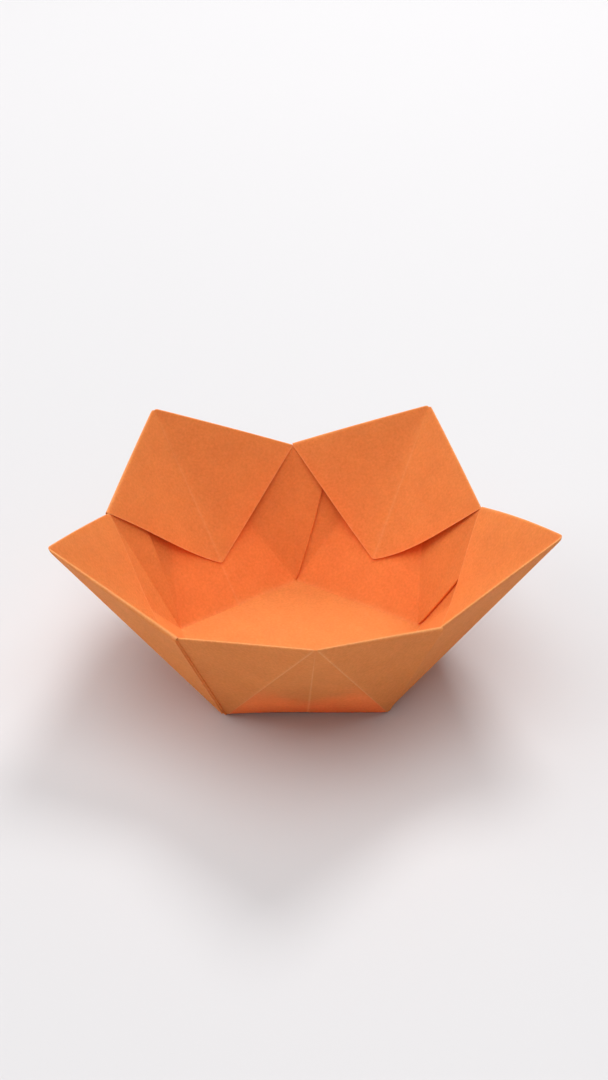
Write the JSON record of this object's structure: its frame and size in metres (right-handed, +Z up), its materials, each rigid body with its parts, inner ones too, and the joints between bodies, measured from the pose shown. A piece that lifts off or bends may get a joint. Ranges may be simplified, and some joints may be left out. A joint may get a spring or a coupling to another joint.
{
  "type": "origami star bowl",
  "caption": "Open star-shaped bowl folded from a single pentagon of orange paper, with a flat floor, pointed petals and triangular flaps folded inside its rim.",
  "frame": {"origin": "centre of the flat underside, on the surface that the bowl stands on", "axes": "+Z up along the bowl's axis, and one corner of the floor points along +Y"},
  "size_m": [0.0716, 0.0681, 0.0265],
  "materials": {
    "orange_paper": "matt, dyed through, the same colour on both sides"
  },
  "bodies": {
    "root": {"folded_sheet": "orange_paper"}
  },
  "joints": []
}
